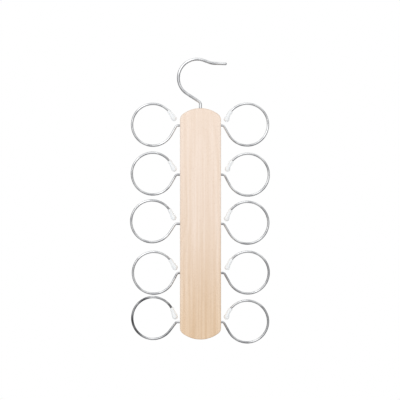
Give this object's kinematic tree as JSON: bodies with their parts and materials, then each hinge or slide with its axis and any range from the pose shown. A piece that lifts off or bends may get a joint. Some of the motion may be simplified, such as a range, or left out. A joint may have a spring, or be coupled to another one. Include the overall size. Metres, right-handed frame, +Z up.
{
  "type": "scarf hanger",
  "caption": "Wooden scarf hanger with a swivelling wire hook and open wire loops, each with a soft end cap, along both long edges.",
  "frame": {"origin": "inner top of the hook's bowl, where the closet rail carries the hanger", "axes": "+Z up along the board and the hook's swivel axis, +X to the right across the board, +Y to the back through it"},
  "size_m": [0.1808, 0.012, 0.3693],
  "materials": {
    "wood": "fine sanded beech with a thin matt lacquer",
    "chrome": "bright plated wire",
    "soft_cap": "milky, see-through soft plastic"
  },
  "bodies": {
    "hook": {"hook": "chrome"},
    "board": {"board": "wood"},
    "loop_left_1": {"loop_left_1": "chrome", "cap_left_1": "soft_cap"},
    "loop_left_2": {"loop_left_2": "chrome", "cap_left_2": "soft_cap"},
    "loop_left_3": {"loop_left_3": "chrome", "cap_left_3": "soft_cap"},
    "loop_left_4": {"loop_left_4": "chrome", "cap_left_4": "soft_cap"},
    "loop_left_5": {"loop_left_5": "chrome", "cap_left_5": "soft_cap"},
    "loop_right_1": {"loop_right_1": "chrome", "cap_right_1": "soft_cap"},
    "loop_right_2": {"loop_right_2": "chrome", "cap_right_2": "soft_cap"},
    "loop_right_3": {"loop_right_3": "chrome", "cap_right_3": "soft_cap"},
    "loop_right_4": {"loop_right_4": "chrome", "cap_right_4": "soft_cap"},
    "loop_right_5": {"loop_right_5": "chrome", "cap_right_5": "soft_cap"}
  },
  "joints": [
    {"name": "board_swivel", "type": "hinge", "parent": "hook", "child": "board", "pos_m": [0.00436, 0, -0.0615], "axis": [0, 0, 1], "continuous": true},
    {"name": "loop_left_1_turn", "type": "hinge", "parent": "board", "child": "loop_left_1", "pos_m": [-0.02214, 0, -0.08375], "axis": [1, 0, 0], "range_deg": [-90, 90]},
    {"name": "loop_left_2_turn", "type": "hinge", "parent": "board", "child": "loop_left_2", "pos_m": [-0.02214, 0, -0.14725], "axis": [1, 0, 0], "range_deg": [-90, 90]},
    {"name": "loop_left_3_turn", "type": "hinge", "parent": "board", "child": "loop_left_3", "pos_m": [-0.02214, 0, -0.21075], "axis": [1, 0, 0], "range_deg": [-90, 90]},
    {"name": "loop_left_4_turn", "type": "hinge", "parent": "board", "child": "loop_left_4", "pos_m": [-0.02214, 0, -0.27425], "axis": [1, 0, 0], "range_deg": [-90, 90]},
    {"name": "loop_left_5_turn", "type": "hinge", "parent": "board", "child": "loop_left_5", "pos_m": [-0.02214, 0, -0.33775], "axis": [1, 0, 0], "range_deg": [-90, 90]},
    {"name": "loop_right_1_turn", "type": "hinge", "parent": "board", "child": "loop_right_1", "pos_m": [0.03086, 0, -0.08375], "axis": [1, 0, 0], "range_deg": [-90, 90]},
    {"name": "loop_right_2_turn", "type": "hinge", "parent": "board", "child": "loop_right_2", "pos_m": [0.03086, 0, -0.14725], "axis": [1, 0, 0], "range_deg": [-90, 90]},
    {"name": "loop_right_3_turn", "type": "hinge", "parent": "board", "child": "loop_right_3", "pos_m": [0.03086, 0, -0.21075], "axis": [1, 0, 0], "range_deg": [-90, 90]},
    {"name": "loop_right_4_turn", "type": "hinge", "parent": "board", "child": "loop_right_4", "pos_m": [0.03086, 0, -0.27425], "axis": [1, 0, 0], "range_deg": [-90, 90]},
    {"name": "loop_right_5_turn", "type": "hinge", "parent": "board", "child": "loop_right_5", "pos_m": [0.03086, 0, -0.33775], "axis": [1, 0, 0], "range_deg": [-90, 90]}
  ]
}
